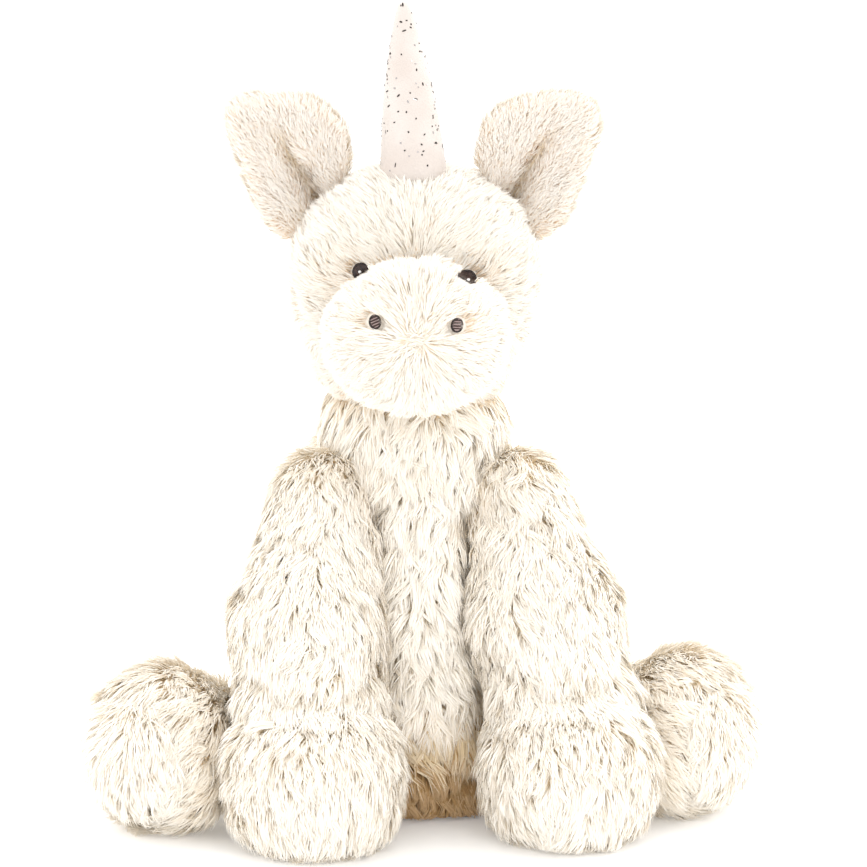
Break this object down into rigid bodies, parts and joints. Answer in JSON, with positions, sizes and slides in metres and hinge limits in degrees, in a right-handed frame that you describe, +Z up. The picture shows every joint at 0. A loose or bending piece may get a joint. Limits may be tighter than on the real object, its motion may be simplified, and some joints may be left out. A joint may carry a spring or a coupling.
{
  "type": "plush unicorn",
  "caption": "Sitting plush unicorn with a stuffed body and head, hanging forelegs, splayed hind legs, leaf-shaped ears, a glittery cone horn, stitched eyes and a tail.",
  "frame": {"origin": "on the floor, at the middle of the footprint box", "axes": "+Z up, the toy looks towards -Y, its own left side is +X"},
  "size_m": [0.2582, 0.209, 0.3047],
  "materials": {
    "pile_cream": "soft curly cream pile",
    "long_pile": "long brushed cream pile",
    "ear_lining": "short cream plush",
    "stuffing": "loose polyester fibre",
    "bag_cloth": "plain woven cotton",
    "pellets": "smooth beads",
    "brown_thread": "satin-stitched embroidery",
    "horn_cloth": "pearly pink-cream cloth with silver flecks",
    "label_tape": "smooth satin tape"
  },
  "bodies": {
    "torso": {"torso_seat": "pile_cream", "left_torso_front": "pile_cream", "right_torso_front": "pile_cream", "left_torso_back": "pile_cream", "right_torso_back": "pile_cream", "torso_stuffing": "stuffing", "pellet_bag": "bag_cloth", "pellets": "pellets", "care_label": "label_tape"},
    "neck": {"neck_cover": "pile_cream", "neck_stuffing": "stuffing"},
    "head": {"left_face": "pile_cream", "right_face": "pile_cream", "left_head_back": "pile_cream", "right_head_back": "pile_cream", "left_muzzle": "pile_cream", "right_muzzle": "pile_cream", "head_stuffing": "stuffing", "left_eye": "brown_thread", "right_eye": "brown_thread", "left_nostril": "brown_thread", "right_nostril": "brown_thread", "mane": "long_pile"},
    "horn": {"horn_cover": "horn_cloth", "horn_stuffing": "stuffing"},
    "tail": {"tail_cover": "long_pile", "tail_stuffing": "stuffing"},
    "left_ear": {"left_ear_lining": "ear_lining", "left_ear_outer": "pile_cream"},
    "left_foreleg": {"left_foreleg_sleeve": "pile_cream", "left_forefoot": "pile_cream", "left_forefoot_sole": "pile_cream", "left_foreleg_stuffing": "stuffing"},
    "left_hindleg": {"left_hindleg_sleeve": "pile_cream", "left_hindfoot_sole": "pile_cream", "left_hindleg_stuffing": "stuffing"},
    "right_ear": {"right_ear_lining": "ear_lining", "right_ear_outer": "pile_cream"},
    "right_foreleg": {"right_foreleg_sleeve": "pile_cream", "right_forefoot": "pile_cream", "right_forefoot_sole": "pile_cream", "right_foreleg_stuffing": "stuffing"},
    "right_hindleg": {"right_hindleg_sleeve": "pile_cream", "right_hindfoot_sole": "pile_cream", "right_hindleg_stuffing": "stuffing"}
  },
  "joints": [
    {"name": "head_turn", "type": "hinge", "parent": "torso", "child": "neck", "pos_m": [0, -0.004, 0.139], "axis": [0, 0, 1], "range_deg": [-25, 25], "stiffness_Nm_per_rad": 0.5},
    {"name": "head_nod", "type": "hinge", "parent": "neck", "child": "head", "pos_m": [0, -0.004, 0.184], "axis": [0.9925, -0.1219, 0], "range_deg": [-15, 12], "stiffness_Nm_per_rad": 1.2},
    {"name": "horn_bend", "type": "hinge", "parent": "head", "child": "horn", "pos_m": [-0.00122, -0.01392, 0.243], "axis": [0.9925, -0.1219, 0], "range_deg": [-8, 8], "stiffness_Nm_per_rad": 0.3},
    {"name": "tail_wag", "type": "hinge", "parent": "torso", "child": "tail", "pos_m": [0, 0.06, 0.045], "axis": [0, 0, 1], "range_deg": [-25, 25], "stiffness_Nm_per_rad": 0.05},
    {"name": "left_ear_fold", "type": "hinge", "parent": "head", "child": "left_ear", "pos_m": [0.03573, -0.00839, 0.23], "axis": [0.8596, -0.1055, -0.5], "range_deg": [-20, 30], "stiffness_Nm_per_rad": 0.02},
    {"name": "left_foreleg_swing", "type": "hinge", "parent": "torso", "child": "left_foreleg", "pos_m": [0.036, -0.022, 0.118], "axis": [-1, 0, 0], "range_deg": [0, 45]},
    {"name": "left_hindleg_lift", "type": "hinge", "parent": "torso", "child": "left_hindleg", "pos_m": [0.052, 0.002, 0.031], "axis": [-1, 0, 0], "range_deg": [0, 35]},
    {"name": "right_ear_fold", "type": "hinge", "parent": "head", "child": "right_ear", "pos_m": [-0.03573, 0.00039, 0.23], "axis": [0.8596, -0.1055, 0.5], "range_deg": [-20, 30], "stiffness_Nm_per_rad": 0.02},
    {"name": "right_foreleg_swing", "type": "hinge", "parent": "torso", "child": "right_foreleg", "pos_m": [-0.036, -0.022, 0.118], "axis": [-1, 0, 0], "range_deg": [0, 45]},
    {"name": "right_hindleg_lift", "type": "hinge", "parent": "torso", "child": "right_hindleg", "pos_m": [-0.052, 0.002, 0.031], "axis": [-1, 0, 0], "range_deg": [0, 35]}
  ]
}
